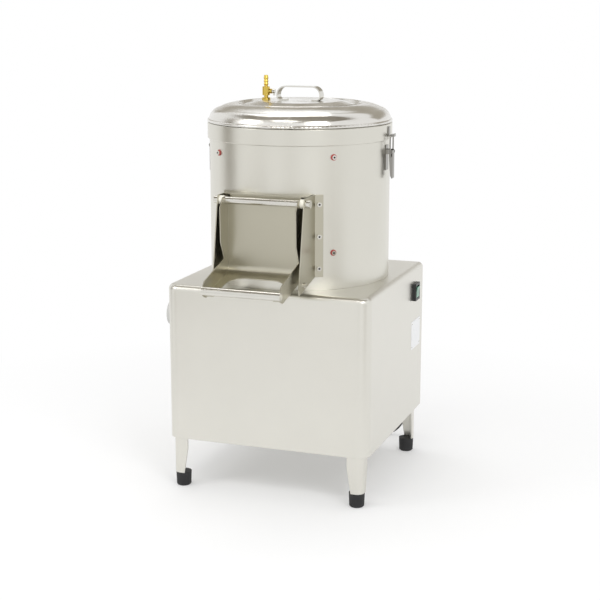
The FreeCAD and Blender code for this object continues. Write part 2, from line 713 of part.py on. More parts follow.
def make_latches():
    axis = S.latch_axis
    reach = S.latch_reach
    crank = S.latch_crank
    bar = axis - crank + S.bail_length
    wire = S.bail_wire
    collar = S.drum_radius + S.collar_sheet + S.seat_gap
    trough = bar - wire - S.seat_gap
    lip = reach + wire + 3.7
    hooks = []
    bases = []
    pins = []
    for side in (1, -1):
        hook = prism("XZ_Plane", [
            (collar, trough - 1.5), (lip + 1.5, trough - 1.5), (lip + 1.5, bar + 3), (lip, bar + 3),
            (lip, trough),
            (collar + 1.5, trough), (collar + 1.5, S.drum_top - 5), (collar, S.drum_top - 5)], -6, 6)
        hooks.append(place(latch_frame(hook, side), 0, S.drum_back, 0))
        seat = S.drum_radius + S.seat_gap
        base = box(seat, seat + 1.6, -8.5, 8.5, axis - 38, axis + 14)
        ears = prism("XZ_Plane", [
            (seat, axis - 5), (reach, axis - 5, -5), (reach + 5, axis, -5), (reach, axis + 5), (seat,
            axis + 5)], -8.5, 8.5)
        gap = box(seat + 1.6, reach + 8, -6.9, 6.9, axis - 40, axis + 20)
        eye = rod(2.05, 20, reach, -10, axis, "y")
        whole = cut(fuse(base, ears), gap, eye)
        bases.append(place(latch_frame(whole, side), 0, S.drum_back, 0))
        pin = rod(2, 17.8, side * reach, S.drum_back - 8.9, axis, "y")
        pins.append(pin)
    node(group(hooks), "latch_hooks")
    node(group(bases + pins), "latch_bases")
    for side, word in ((1, "right"), (-1, "left")):
        tip = axis - S.lever_length
        back = reach - 3.6
        face = reach + 4.4
        channel = prism("XZ_Plane", [
            (back, axis - crank - 5), (reach - 1, tip + 6), (face - 2, tip), (face, tip + 2), (face,
            axis + 3),
            (reach, axis + 4), (back, axis + 2)], -6, 6)
        hollow = box(back - 2, face - 1.6, -4.6, 4.6, tip + 8, axis + 6)
        eyes = [rod(2.08, 16, reach, -8, axis, "y"), rod(wire + 0.08, 16, reach, -8, axis - crank, "y")]
        lever = cut(channel, hollow, *eyes)
        latch_frame(lever, side)
        node(lever, "latch_lever_" + word, 0, S.drum_back, 0)
        half = S.bail_half
        low = axis - crank
        bend = 4
        legs = [rod(wire, bar - low - bend, reach, y, low) for y in (-half, half)]
        stubs = [rod(wire, half - 4.2, reach, y, low, "y") for y in (-half, 4.2)]
        top = rod(wire, 2 * (half - bend), reach, -half + bend, bar, "y")
        turns = []
        for sign in (-1, 1):
            turn = doc.addObject("Part::Torus", "Bend")
            bind(turn, Radius1=bend, Radius2=wire)
            turn.Angle3 = 90
            turn.Placement.Rotation = FreeCAD.Rotation(V(0, sign, 0), V(0, 0, 1), V(1, 0, 0), "XYZ")
            turns.append(place(turn, reach, sign * (half - bend), bar - bend))
        knees = []
        for y in (-half, half):
            knee = doc.addObject("Part::Sphere", "Knee")
            bind(knee, Radius=wire)
            knees.append(place(knee, reach, y, low))
        bail = fuse(*legs, *stubs, top, *turns, *knees)
        latch_frame(bail, side)
        node(bail, "latch_bail_" + word, 0, S.drum_back, 0)


GRIP_NOTCH = S.grip_radius + S.running_gap


def make_door():
    """The discharge door: a folded tray with side cheeks, a finger cut-out and a front grip."""
    skin = S.door_sheet
    face = S.door_face
    half = S.door_half
    top = S.hinge_z + 7
    front = S.grip_y - 2
    cheek = [(face, top), (S.hinge_y - 12, top), (face - 42, S.hinge_z - 12), (face - 40,
        S.opening_low + 52),
             (face - 24, S.lip_corner + 31), (front + 8, S.grip_z + 19), (front, S.grip_z + 10),
             (front, S.grip_z - 10), (front + 14, S.grip_z - 16), (face, S.lip_corner - 5)]
    cheeks = [prism("YZ_Plane", cheek, -half, -half + skin), prism("YZ_Plane", cheek, half - skin, half)]
    slope = S.lip_slope
    bend = S.lip_bend
    turn = 90 - slope
    reach = (bend + skin) * trig("tan", turn / 2)
    inner_reach = bend * trig("tan", turn / 2)
    fall = trig("tan", slope)
    run = face - S.grip_y - S.grip_radius - 1
    corner_z = S.lip_corner
    inner_y = face - skin
    inner_z = corner_z + skin / trig("cos", slope) - skin * fall
    end_low = corner_z - run * fall
    tray_points = [
        (face, S.hinge_z - 9), (face, corner_z + reach, bend + skin),
        (face - reach * trig("cos", slope), corner_z - reach * trig("sin", slope)),
        (face - run, end_low), (face - run, end_low + skin / trig("cos", slope)),
        (inner_y - inner_reach * trig("cos", slope), inner_z - inner_reach * trig("sin", slope), -bend),
        (inner_y, inner_z + inner_reach), (inner_y, S.hinge_z - 9)]
    tray = prism("YZ_Plane", tray_points, -half + skin, half - skin)
    tip = face - run
    back = tip + S.cutout_depth
    wide = S.cutout_half
    corner = S.cutout_corner
    finger = prism("XY_Plane", [
        (-wide, tip - 20), (wide, tip - 20), (wide, back - corner, -corner), (wide - corner, back),
        (-wide + corner, back, -corner), (-wide, back - corner)], S.grip_z - 60, S.opening_low + 20)
    eye = rod(S.hinge_radius + 0.1, half * 3, -1.5 * half, S.hinge_y, S.hinge_z, "x")
    notch = rod(GRIP_NOTCH, half * 3, -1.5 * half, S.grip_y, S.grip_z, "x")
    node(cut(fuse(tray, *cheeks), finger, eye, notch), "discharge_door")
    grip_half = half + 0.7
    node(rod(S.grip_radius, grip_half * 2, 0, 0, 0, "x"), "door_grip", -grip_half, S.grip_y, S.grip_z)
    sleeve_half = half - skin - S.running_gap
    node(cut(rod(S.sleeve_radius, sleeve_half * 2, -sleeve_half, S.hinge_y, S.hinge_z, "x"),
             rod(S.hinge_radius + 0.1, sleeve_half * 3, -1.5 * sleeve_half, S.hinge_y, S.hinge_z, "x")),
         "hinge_sleeve")
    seal_out = S.opening_half + 1.5
    seal_in = S.opening_half - 5
    seal_back = S.spout_front - S.seat_gap
    node(cut(box(-seal_out, seal_out, face, seal_back, S.opening_low + 4, S.hinge_z - 10),
             box(-seal_in, seal_in, face - 1, seal_back + 1, S.opening_low + 9, S.hinge_z - 15)),
                 "door_seal")


def bracket_side(side):
    half = S.bracket_half
    sheet_x = (half, half + S.sheet) if side > 0 else (-half - S.sheet, -half)
    turn = S.bracket_azimuth
    back = (S.drum_back - (S.drum_radius + S.seat_gap + 0.1 + S.sheet) * trig("cos", turn)
            - S.bracket_flange / 2 * trig("sin", turn) + 0.3)
    plate = prism("YZ_Plane", [
        (back, S.bracket_high), (S.hinge_y - 8, S.bracket_high), (S.hinge_y - 14, S.hinge_z - 10),
        (S.hinge_y - 35, S.opening_low + 8), (S.hinge_y - 42, S.bracket_low - 8),
        (S.hinge_y - 39, S.bracket_low - 20), (back, S.bracket_low)], *sheet_x)
    flange = doc.addObject("Part::Box", "Flange")
    width = S.bracket_flange
    seat = S.drum_radius + S.seat_gap + 0.1
    bind(flange, Length=width, Width=S.sheet, Height=S.bracket_high - S.bracket_low)
    turn = S.bracket_azimuth if side > 0 else -S.bracket_azimuth
    flange.Placement.Rotation = FreeCAD.Rotation(V(0, 0, 1), turn.value)
    out = seat + S.sheet
    place(flange, out * trig("sin", turn) - width / 2 * trig("cos", turn),
          S.drum_back - out * trig("cos", turn) - width / 2 * trig("sin", turn), S.bracket_low)
    eye = rod(S.hinge_radius + S.running_gap, 40, side * half - 20, S.hinge_y, S.hinge_z, "x")
    catch = rod(3.05, 40, side * half - 20, S.catch_y, S.catch_z, "x")
    return cut(fuse(plate, flange), eye, catch)


def make_discharge():
    seat = S.drum_radius + S.seat_gap
    outer = S.opening_half + S.sheet
    frame = box(-outer, outer, S.spout_front, -120, S.opening_low - S.sheet, S.opening_high + S.sheet)
    inside = box(-S.opening_half, S.opening_half, S.spout_front - 5, -110, S.opening_low, S.opening_high)
    core = rod(seat, S.cabinet_top, 0, S.drum_back, S.opening_low - 100)
    node(cut(frame, inside, core), "discharge_spout")
    hood_half = S.bracket_half - S.sheet
    front = S.hinge_y + 17.3
    hood = box(-hood_half, hood_half, front, -120, S.bracket_high - 1, S.bracket_high + 1)
    riser = box(-S.opening_half, S.opening_half, front, front + 2, S.opening_high + S.sheet + 2,
                S.bracket_high + 1)
    hood_core = rod(seat, S.cabinet_top, 0, S.drum_back, S.opening_low - 100)
    node(cut(fuse(hood, riser), hood_core), "hinge_hood")
    node(bracket_side(1), "bracket_right")
    node(bracket_side(-1), "bracket_left")
    face = seat + 0.15 + S.sheet
    turn = S.bracket_azimuth
    node(group(radial_rods(S.bracket_bolt, face, face + S.bracket_bolt, [turn, -turn],
                           [S.bracket_low + 18, S.bracket_low + 83, S.bracket_low + 148])),
                               "bracket_screws")
    reach = S.bracket_half + S.sheet + 3
    node(rod(S.hinge_radius, reach * 2, 0, 0, 0, "x"), "hinge_rod", -reach, S.hinge_y, S.hinge_z)
    spacers = []
    nuts = []
    catches = []
    inner = S.door_half + S.seat_gap
    for side in (1, -1):
        start = inner if side > 0 else -S.bracket_half
        wide = S.bracket_half - inner
        spacers.append(cut(rod(9, wide, start, S.hinge_y, S.hinge_z, "x"),
                           rod(S.hinge_radius + S.running_gap, wide * 3, start - wide, S.hinge_y,
                               S.hinge_z, "x")))
        nut_out = S.bracket_half + S.sheet
        nut_start = nut_out if side > 0 else -nut_out - 9
        nuts.append(cut(rod(8, 9, nut_start, S.hinge_y, S.hinge_z, "x"),
                        rod(S.hinge_radius + S.running_gap, reach * 2, -reach, S.hinge_y, S.hinge_z, "x")))
        head = nut_out if side > 0 else -nut_out - 5
        nose = side * (S.bracket_half - 6.5) if side > 0 else -S.bracket_half
        shank = side * (S.bracket_half - 6.5) if side > 0 else -nut_out - 1
        catches.append(fuse(rod(5.5, 5, head, S.catch_y, S.catch_z, "x"),
                            rod(5, 6.5, nose, S.catch_y, S.catch_z, "x"),
                            rod(3, S.sheet + 7.5, shank, S.catch_y, S.catch_z, "x")))
    node(group(spacers), "hinge_spacers")
    node(group(nuts + catches), "bracket_bolts")


def switch_block(half_y, half_z, x0, x1):
    return box(x0, x1, S.switch_y - half_y, S.switch_y + half_y, S.switch_z - half_z, S.switch_z + half_z)


def make_switch():
    wall = HALF_WIDTH
    half_y = S.switch_width / 2
    half_z = S.switch_height / 2
    bezel = switch_block(half_y, half_z, wall, wall + S.switch_reach - 2)
    neck = switch_block(half_y - 2, half_z - 2, wall - 22, wall)
    well = switch_block(half_y - 5, half_z - 5, wall - 14, wall + S.switch_reach)
    out = wall + S.switch_reach
    eye = rod(1.55, S.switch_width - 6, out - 8, S.switch_y - half_y + 3, S.switch_z, "y")
    node(cut(fuse(bezel, neck), well, eye), "switch_housing")
    gap = 0.8
    half = half_z - 5 - 2 * gap
    middle = S.switch_z
    rocker = prism("XZ_Plane", [
        (out - 8, middle - half + 3), (out - 2, middle - half), (out - 1.6, middle), (out,
        middle + half - 1),
        (out - 8, middle + half - 3), (out - 16, middle)],
        S.switch_y - half_y + 5 + gap, S.switch_y + half_y - 5 - gap)
    pin = rod(1.5, S.switch_width - 6.4, out - 8, S.switch_y - half_y + 3.2, middle, "y")
    node(fuse(rocker, pin), "switch_rocker")
    plate = doc.addObject("Part::Box", "Plate")
    bind(plate, Length=0.6, Width=S.plate_width, Height=S.plate_height)
    node(plate, "rating_plate", wall, S.plate_y - S.plate_width / 2, S.plate_z - S.plate_height / 2)


# The cord leaves the gland, hangs to the floor and runs into the coil; points in the row's frame.
CORD_ROUTE = [
    (205, 305.75, 180), (205, 334, 179), (203, 360, 150), (198, 371, 112), (190, 368, 74), (180, 358, 40),
    (165, 348, 15), (143, 343, 4), (112, 346, 4), (70, 344.75, 4), (30, 344.75, 4)]
COIL_CENTRE = (30, 402.75)
COIL_TAIL = 45.0
COIL_OUTER = 58.0
COIL_PITCH = 10.0
COIL_TURNS = 2
COIL_LAYER = 8.7


def corner_arc(start, corner, end):
    """The arc that leaves start and reaches end towards and away from the corner."""
    middle = (start + end) * 0.5
    half = (end - start).Length / 2
    rise = (corner - middle).Length
    if rise < 1e-7:
        return Part.LineSegment(start, end)
    bow = half * math.tan(math.atan2(rise, half) / 2)
    return Part.Arc(start, middle + (corner - middle).normalize() * bow, end)


def rounded_path(points, radius):
    """Straight runs joined by tangent arcs as large as the runs allow."""
    edges = []
    radii = []
    at = points[0]
    for before, corner, after in zip(points, points[1:], points[2:]):
        shorter = min((corner - before).Length, (after - corner).Length)
        turn = (corner - before).getAngle(after - corner)
        start = corner + (before - corner).normalize() * 0.45 * shorter
        end = corner + (after - corner).normalize() * 0.45 * shorter
        edges.append(Part.LineSegment(at, start).toShape())
        edges.append(corner_arc(start, corner, end).toShape())
        radii.append(0.45 * shorter / math.tan(turn / 2))
        at = end
    edges.append(Part.LineSegment(at, points[-1]).toShape())
    wire = Part.Wire(edges)
    print("cord radii", [round(r, 1) for r in radii], "least over diameter",
        round(min(radii) / radius / 2, 1))
    return wire


def tube_along(wire, radius):
    first = wire.Edges[0]
    start = first.valueAt(first.FirstParameter)
    ring = Part.Wire([Part.Circle(start, first.tangentAt(first.FirstParameter), radius).toShape()])
    solid = wire.makePipeShell([ring], True, False)
    print("tube volume over section times length",
        round(solid.Volume / (math.pi * radius ** 2 * wire.Length), 4),
          "length", round(wire.Length, 1))
    return solid


def coil_point(turns):
    """Point of the coil after so many turns: in on the floor layer, up a layer, out again."""
    inner = COIL_OUTER - COIL_PITCH * COIL_TURNS
    if turns <= COIL_TURNS:
        radius, lift = COIL_OUTER - COIL_PITCH * turns, 0.0
    elif turns <= COIL_TURNS + 0.5:
        share = (turns - COIL_TURNS) / 0.5
        radius, lift = inner, (1 - math.cos(math.pi * share)) / 2
    else:
        radius, lift = inner + COIL_PITCH * (turns - COIL_TURNS - 0.5), 1.0
    angle = -math.pi / 2 - 2 * math.pi * turns
    return V(COIL_CENTRE[0] + radius * math.cos(angle), COIL_CENTRE[1] + radius * math.sin(angle),
             S.cord_radius.value + COIL_LAYER * lift)


def biarc(p0, t0, p1, t1):
    """Two arcs that leave p0 along t0 and reach p1 along t1, tangent to each other."""
    v = p1 - p0
    a = 2 * (1 - t0.dot(t1))
    b = 2 * v.dot(t0 + t1)
    c = -v.dot(v)
    reach = (-b + math.sqrt(b * b - 4 * a * c)) / (2 * a) if a > 1e-9 else -c / b
    q0 = p0 + t0 * reach
    q1 = p1 - t1 * reach
    middle = (q0 + q1) * 0.5
    return [corner_arc(p0, q0, middle).toShape(), corner_arc(middle, q1, p1).toShape()]


def coil_wire():
    total = 2 * COIL_TURNS + 0.5
    steps = int(total * 4)
    small = 1e-5
    edges = []
    for i in range(steps):
        ends = []
        for share in (i * total / steps, (i + 1) * total / steps):
            low = max(share - small, 0.0)
            high = min(share + small, total)
            ends.append((coil_point(share), (coil_point(high) - coil_point(low)).normalize()))
        if i == 0:
            ends[0] = (ends[0][0], V(-1, 0, 0))
        if i == steps - 1:
            ends[1] = (ends[1][0], V(1, 0, 0))
        edges += biarc(*ends[0], *ends[1])
    return Part.Wire(edges)


def coil_gap():
    """Least gap from the coil's tube to itself, measured between points half a turn or more apart."""
    count = 720
    total = 2 * COIL_TURNS + 0.5
    points = [coil_point(total * i / count) for i in range(count + 1)]
    apart = int(count / total * 0.5)
    least = min((points[i] - points[j]).Length
                for i in range(count + 1) for j in range(i + apart, count + 1))
    return least - 2 * S.cord_radius.value


def feature(shape, label):
    piece = doc.addObject("Part::Feature", "Cord")
    piece.Shape = shape
    piece.Label = label
    NODES.append(piece)


def make_cord():
    y0 = REAR
    stem = cut(fuse(rod(11, 9, S.gland_x, y0, S.gland_z, "y"),
                    rod((8, 5.6), S.gland_reach - 9, S.gland_x, y0 + 9, S.gland_z, "y", "Part::Cone"),
                    rod(7.6, 12, S.gland_x, y0 - 10, S.gland_z, "y")),
               rod(S.cord_radius, S.gland_reach + 12, S.gland_x, y0 - 12, S.gland_z, "y"),)
    core = rod(S.cord_radius, S.gland_reach + 8, S.gland_x, y0 - 8, S.gland_z, "y")
    node(fuse(stem, core), "cable_gland")
    radius = S.cord_radius.value
    route = [V(*point) for point in CORD_ROUTE]
    feature(tube_along(rounded_path(route, radius), radius), "power_cord")
    coil = coil_wire()
    print("coil gap to itself", round(coil_gap(), 2))
    last = coil.Edges[-1].valueAt(coil.Edges[-1].LastParameter)
    end = last + V(COIL_TAIL, 0, 0)
    coil = Part.Wire(coil.Edges + [Part.LineSegment(last, end).toShape()])
    feature(tube_along(coil, radius), "cord_coil")
    grip = Part.makeCone(radius + 1.2, radius + 4.5, 26, end, V(1, 0, 0))
    body = Part.makeBox(30, 36, 25, V(end.x + 24, end.y - 18, 0.2))
    pins = [Part.makeCylinder(2.4, 19, V(end.x + 53, end.y + y, end.z), V(1, 0, 0)) for y in (-9.5, 9.5)]
    feature(body.makeFillet(7, body.Edges).fuse([grip] + pins), "mains_plug")
    mean = COIL_OUTER - COIL_PITCH
    x = COIL_CENTRE[0] - mean
    y = COIL_CENTRE[1]
    high = 3 * radius + COIL_LAYER - radius + 1.6
    outside = Part.makeBox(2 * COIL_PITCH + 4 * radius, 9, high, V(x - COIL_PITCH - 2 * radius, y - 4.5, 0))
    inside = Part.makeBox(2 * COIL_PITCH + 4 * radius - 3, 11, high - 1.2,
        V(x - COIL_PITCH - 2 * radius + 1.5, y - 5.5, 0))
    feature(outside.cut(inside), "cord_tie")


make_cabinet()
for leg, sx, sy in (("leg_front_left", -1, -1), ("leg_front_right", 1, -1), ("leg_rear_left", -1, 1),
                    ("leg_rear_right", 1, 1)):
    make_leg(leg, sx, sy)
make_feet()
make_drum()
make_pan()
sleeve = rod(S.drain_radius, S.drain_reach - 2, -HALF_WIDTH - S.drain_reach, S.drain_y, DRAIN_HEIGHT, "x")
node(cut(fuse(drain_solid(S.drain_radius - 1, as_size(0)), sleeve),
         drain_solid(S.drain_radius - S.drain_wall, as_size(1))), "drain_pipe")
make_rotor()
make_motor()
make_belt()
make_lid()
make_handle()
make_valve()
make_latches()
make_door()
make_discharge()
make_switch()
make_cord()
doc.recompute()

for thing in doc.Objects:
    if "Invalid" in thing.State or "Error" in thing.State:
        raise RuntimeError("not computed: " + thing.Name + " " + thing.Label + " " + str(thing.State))
for piece in NODES:
    if piece.Shape.isNull() or not piece.Shape.isValid() or not piece.Shape.Solids:
        raise RuntimeError("bad shape: " + piece.Label)

os.makedirs("parts", exist_ok=True)
for piece in NODES:
    piece.Shape.exportStep("parts/" + piece.Label + ".step")
print(len(NODES), "nodes")
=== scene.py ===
"""Looks of an electric potato peeler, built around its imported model. Metres, row frame."""
import json
import math

import bmesh
import bpy
from mathutils import Matrix, Vector


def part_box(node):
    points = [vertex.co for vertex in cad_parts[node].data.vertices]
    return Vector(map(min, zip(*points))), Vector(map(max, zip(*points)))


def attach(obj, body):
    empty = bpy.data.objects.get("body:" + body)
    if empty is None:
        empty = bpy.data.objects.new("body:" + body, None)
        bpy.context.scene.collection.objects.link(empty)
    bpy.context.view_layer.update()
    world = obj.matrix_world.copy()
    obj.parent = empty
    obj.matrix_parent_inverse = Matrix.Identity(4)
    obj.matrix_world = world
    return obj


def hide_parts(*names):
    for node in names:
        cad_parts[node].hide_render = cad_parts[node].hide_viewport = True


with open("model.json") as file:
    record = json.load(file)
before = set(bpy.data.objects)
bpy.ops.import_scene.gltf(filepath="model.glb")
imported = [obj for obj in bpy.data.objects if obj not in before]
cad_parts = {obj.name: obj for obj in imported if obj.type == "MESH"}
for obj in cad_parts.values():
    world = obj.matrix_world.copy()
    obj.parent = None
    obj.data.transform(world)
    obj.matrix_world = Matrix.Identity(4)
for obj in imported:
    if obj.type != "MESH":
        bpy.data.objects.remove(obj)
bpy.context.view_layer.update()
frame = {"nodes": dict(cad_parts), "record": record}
nodes = frame["nodes"]
scene = bpy.context.scene
scene.view_settings.view_transform = "Standard"

# Camera at the photograph's angle.
AZIMUTH = math.radians(19.7774)
ELEVATION = math.radians(12.6494)
CAMERA_PLACE = (0.9948, -2.6412, 1.0230)
LENS_MM = 81.75
SENSOR_MM = 36
CLIP_END = 400

# The drum's axis, and the screws that the small sockets sit on. Each socket is a black hexagon: painted shade
# in the screw head's recess.
DRUM_AXIS = (0.020, 0.06975)
DRUM_SCREW_AZIMUTHS = (40.4, -40.4, 139.6, -139.6)
DRUM_SCREW_HEIGHTS = (0.5143, 0.7068)
BRACKET_SCREW_AZIMUTHS = (31.2, -31.2)
BRACKET_SCREW_HEIGHTS = (0.484, 0.549, 0.614)
PANEL_SCREW_XS = (-0.184, 0.224)
PANEL_SCREW_HEIGHTS = (0.124, 0.273, 0.422)
DRUM_SOCKET_RADIUS = 0.0023
BRACKET_SOCKET_RADIUS = 0.0024
PANEL_SOCKET_RADIUS = 0.0024
SOCKET_DEPTH = 0.0006
PANEL_SOCKET_DEPTH = 0.0004
PANEL_SOCKET_SINK = 0.0001
SOCKET_TAPER = 0.92
RIVET_INSET = 0.005
RIVET_RADIUS = 0.0016
RIVET_SINK = 0.0003

# The mains cord, in millimetres: its way from the gland to the coil, then the coil and its straight tail.
ROUTE = ((205, 305.75, 180), (205, 334, 179), (203, 360, 150), (198, 371, 112), (190, 368, 74), (180, 358, 40),
         (165, 348, 15), (143, 343, 4), (112, 346, 4), (70, 344.75, 4))
COIL_CENTRE = (30, 402.75)
COIL_TURNS = 2
COIL_STEPS = 16
COIL_OUTER = 58
COIL_INNER = 38
COIL_PITCH = 10
CROSSING_TURNS = 0.5
LOW_LAYER = 4
LAYER_RISE = 8.7
TAIL_REACHES = (22, 46)
TAIL_HEIGHT = 12.7
CORD_RADIUS = 0.004
LATCH_NODES = ("latch_lever_right", "latch_lever_left", "latch_bail_right", "latch_bail_left", "latch_bases",
               "latch_hooks")

# The studio. The floor turns from lit white to its own glow between these distances from the machine.
FLOOR_SIZE = 600
GLOW_START = 0.4
GLOW_END = 1.25
GLOW_LEAST = 0.25
SKY_STRENGTH = 0.72

# Sockets that a node tree reaches by number.
MIX_FIRST = 6
MIX_SECOND = 7
MIX_COLOUR = 2
RANGE_TO_LOW = 3
RANGE_TO_HIGH = 4


def lin(r, g, b):
    """A colour as it shows on screen, from 0 to 255, as the linear colour that a shader takes."""
    out = []
    for value in (r, g, b):
        value = value / 255
        out.append(value / 12.92 if value <= 0.04045 else ((value + 0.055) / 1.055) ** 2.4)
    return (*out, 1)


class Shade:
    """A Principled material whose colour, roughness and bump come from procedural nodes."""

    def __init__(self, name, colour, metallic=0.0, roughness=0.4, **sockets):
        self.material = bpy.data.materials.new(name)
        self.material.use_nodes = True
        self.tree = self.material.node_tree
        self.shader = self.tree.nodes["Principled BSDF"]
        self.shader.inputs["Base Color"].default_value = colour
        self.shader.inputs["Metallic"].default_value = metallic
        self.shader.inputs["Roughness"].default_value = roughness
        self.colour = colour
        self.roughness = roughness
        for key, value in sockets.items():
            self.shader.inputs[key.replace("_", " ")].default_value = value
        self.where = self.tree.nodes.new("ShaderNodeTexCoord").outputs["Object"]
        self.normal = None
        self.rough_out = None

    def add(self, kind, **inputs):
        """A new node, each of whose named inputs takes a link or a value."""
        made = self.tree.nodes.new(kind)
        for key, value in inputs.items():
            socket = made.inputs[key.replace("_", " ")]
            if isinstance(value, bpy.types.NodeSocket):
                self.tree.links.new(value, socket)
            else:
                socket.default_value = value
        return made

    def noise(self, scale, stretch=(1, 1, 1), detail=4.0, rough=0.6):
        spot = self.add("ShaderNodeMapping", Vector=self.where, Scale=stretch)
        return self.add("ShaderNodeTexNoise", Vector=spot.outputs[0], Scale=scale, Detail=detail,
                        Roughness=rough).outputs["Fac"]

    def span(self, source, low, high, start=0.3, end=0.7):
        """The source's values from start to end, spread from low to high."""
        made = self.tree.nodes.new("ShaderNodeMapRange")
        self.tree.links.new(source, made.inputs[0])
        for i, value in enumerate((start, end, low, high), 1):
            made.inputs[i].default_value = value
        return made.outputs[0]

    def strength_of_colour(self, factor):
        return tuple(min(1, c * factor) for c in self.colour[:3]) + (1,)

    def tint(self, source, darker=0.9, lighter=1.05):
        """The colour varies between two strengths of itself."""
        mix = self.tree.nodes.new("ShaderNodeMix")
        mix.data_type = "RGBA"
        mix.inputs[MIX_FIRST].default_value = self.strength_of_colour(darker)
        mix.inputs[MIX_SECOND].default_value = self.strength_of_colour(lighter)
        self.tree.links.new(source, mix.inputs[0])
        self.tree.links.new(mix.outputs[MIX_COLOUR], self.shader.inputs["Base Color"])
        return self

    def gloss(self, source, spread):
        """The roughness varies with the source. A second call shares it equally with the first."""
        link = self.span(source, max(0.03, self.roughness - spread), self.roughness + spread)
        if self.rough_out is not None:
            both = self.tree.nodes.new("ShaderNodeMath")
            both.operation = "ADD"
            half = self.tree.nodes.new("ShaderNodeMath")
            half.operation = "MULTIPLY"
            half.inputs[1].default_value = 0.5
            self.tree.links.new(self.rough_out, both.inputs[0])
            self.tree.links.new(link, both.inputs[1])
            self.tree.links.new(both.outputs[0], half.inputs[0])
            link = half.outputs[0]
        self.rough_out = link
        self.tree.links.new(link, self.shader.inputs["Roughness"])
        return self

    def bump(self, source, strength, distance):
        made = self.add("ShaderNodeBump", Height=source, Strength=strength, Distance=distance)
        if self.normal is not None:
            self.tree.links.new(self.normal, made.inputs["Normal"])
        self.normal = made.outputs["Normal"]
        self.tree.links.new(self.normal, self.shader.inputs["Normal"])
        return self

    def edges(self, radius):
        """Narrow worn edges that catch the light."""
        made = self.add("ShaderNodeBevel", Radius=radius)
        made.samples = 4
        self.normal = made.outputs["Normal"]
        self.tree.links.new(self.normal, self.shader.inputs["Normal"])
        return self

    def wear(self, lighter):
        """Corners rubbed a little paler than the faces."""
        point = self.tree.nodes.new("ShaderNodeNewGeometry").outputs["Pointiness"]
        return self.tint(self.span(point, 0, 1, 0.5, 0.62), 1.0, lighter)


def brushed(name, colour, roughness, stretch, strength, streak=0.03):
    """Stainless sheet with fine drawn lines, faint cloudy wiping marks and softened edges."""
    shade = Shade(name, colour, 1.0, roughness)
    shade.edges(0.0012)
    lines = shade.noise(900, stretch, 2.0)
    clouds = shade.noise(5.5, (1, 1, 1), 5.0, 0.62)
    shade.tint(clouds, 0.93, 1.03)
    shade.gloss(lines, streak).gloss(clouds, 0.05)
    return shade.bump(lines, strength, 0.0003).material


def polished(name, colour, roughness, waviness=0.0):
    """Bright steel with wiping haze and hairline scratches."""
    shade = Shade(name, colour, 1.0, roughness)
    haze = shade.noise(9, (1, 1, 1), 6.0, 0.65)
    hair = shade.noise(420, (1, 0.06, 1), 2.0)
    shade.tint(haze, 0.95, 1.03)
    shade.gloss(haze, roughness * 0.6)
    if waviness:
        shade.bump(shade.noise(3.2, (1, 1, 1), 1.0), waviness, 0.002)
    return shade.bump(hair, 0.02, 0.0001).material


def moulded(name, colour, roughness, grain=0.12, scale=900, paler=1.5, **sockets):
    """Moulded plastic or rubber: fine grain, uneven sheen and rubbed corners."""
    shade = Shade(name, colour, 0.0, roughness, **sockets)
    fine = shade.noise(scale, (1, 1, 1), 2.0)
    dust = shade.noise(14, (1, 1, 1), 6.0, 0.7)
    shade.wear(paler)
    shade.gloss(dust, 0.1)
    return shade.bump(fine, grain, 0.0002).material


def gritty(name, colour, roughness, metallic=0.0, scale=420, strength=0.8):
    """Bonded abrasive grit or rough casting."""
    shade = Shade(name, colour, metallic, roughness)
    grains = shade.add("ShaderNodeTexVoronoi", Vector=shade.where, Scale=scale).outputs["Distance"]
    shade.tint(shade.span(grains, 0, 1, 0.0, 0.6), 1.3, 0.6)
    shade.gloss(shade.noise(30), 0.08)
    return shade.bump(grains, strength, 0.0012).material


slots = {
    "brushed_cabinet": brushed("steel_cabinet", lin(222, 220, 212), 0.32, (0.03, 0.03, 1), 0.02),
    "brushed_drum": brushed("steel_drum", lin(218, 216, 207), 0.31, (1, 1, 0.03), 0.015),
    "polished_lid": polished("steel_lid", lin(224, 222, 217), 0.23, 0.25),
    "door_steel": brushed("steel_door", lin(188, 184, 168), 0.30, (0.03, 1, 1), 0.006, streak=0.012),
    "bright_steel": polished("steel_bright", lin(214, 212, 205), 0.14),
    # The latch steel is the bright steel darkened: painted shade.
    "latch_shaded_steel": polished("steel_latch_shaded", lin(150, 148, 143), 0.14),
    "black_rubber": moulded("rubber_black", lin(27, 27, 28), 0.62, 0.2, 700, 1.8),
    "gasket": moulded("rubber_pale", lin(206, 203, 192), 0.5),
    "red_washer": moulded("rubber_red", lin(168, 66, 62), 0.5, 0.1, 900, 1.2),
    "abrasive": gritty("grit_grey", lin(96, 94, 90), 0.9),
    "cast_alloy": gritty("alloy_cast", lin(176, 177, 178), 0.45, 1.0, 900, 0.25),
    "motor_paint": moulded("paint_motor", lin(84, 92, 104), 0.42, 0.15, 300, 1.3),
    "zinc_plate": polished("zinc_plate", lin(190, 192, 196), 0.35),
    "brass": polished("brass_turned", lin(214, 186, 92), 0.2),
    "drain_plastic": moulded("plastic_drain", lin(206, 206, 203), 0.42, 0.1, 600, 1.05),
    "switch_black": moulded("plastic_switch", lin(24, 25, 26), 0.38, 0.15, 1300),
    "switch_green": moulded("plastic_rocker", lin(58, 128, 98), 0.18, 0.03, 1300, 1.3,
                            Coat_Weight=0.25, Coat_Roughness=0.08),
    "plate_white": moulded("plate_bare", lin(238, 239, 240), 0.35, 0.06, 500, 1.0),
    "cord_black": moulded("rubber_cord", lin(24, 24, 25), 0.5, 0.15, 1200, 1.6),
    "tie_black": moulded("strap_woven", lin(30, 30, 31), 0.85, 0.6, 1500, 1.4),
}


